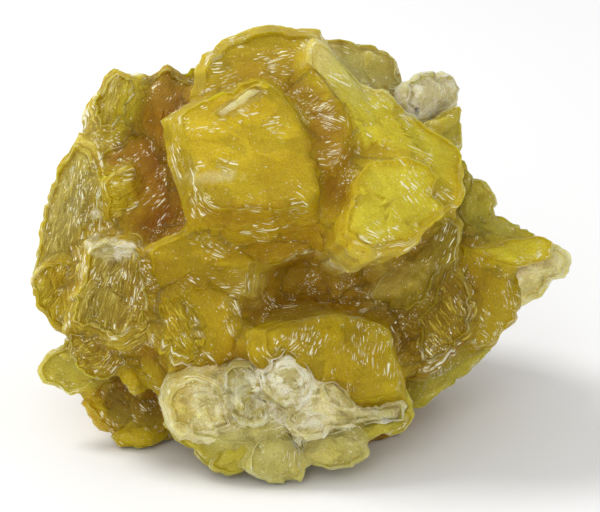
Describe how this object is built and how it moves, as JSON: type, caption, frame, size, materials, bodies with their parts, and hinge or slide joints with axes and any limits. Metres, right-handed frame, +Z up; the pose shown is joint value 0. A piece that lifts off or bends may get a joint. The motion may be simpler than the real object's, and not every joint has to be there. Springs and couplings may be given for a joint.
{
  "type": "yellow lepidolite mica specimen",
  "caption": "Hand-sized cluster of intergrown blocky yellow mica books with a pale scaly crust at the foot, resting on its broken base.",
  "frame": {"origin": "on the flat of the broken base, under the middle of the front view, at the resting plane", "axes": "+Z up as the specimen rests, -Y towards the viewer of its show side, +X to that viewer's right"},
  "size_m": [0.0546, 0.0412, 0.0412],
  "materials": {
    "mica": "waxy, pearly on the plate edges"
  },
  "bodies": {
    "root": {"lepidolite_cluster": "mica"}
  },
  "joints": []
}
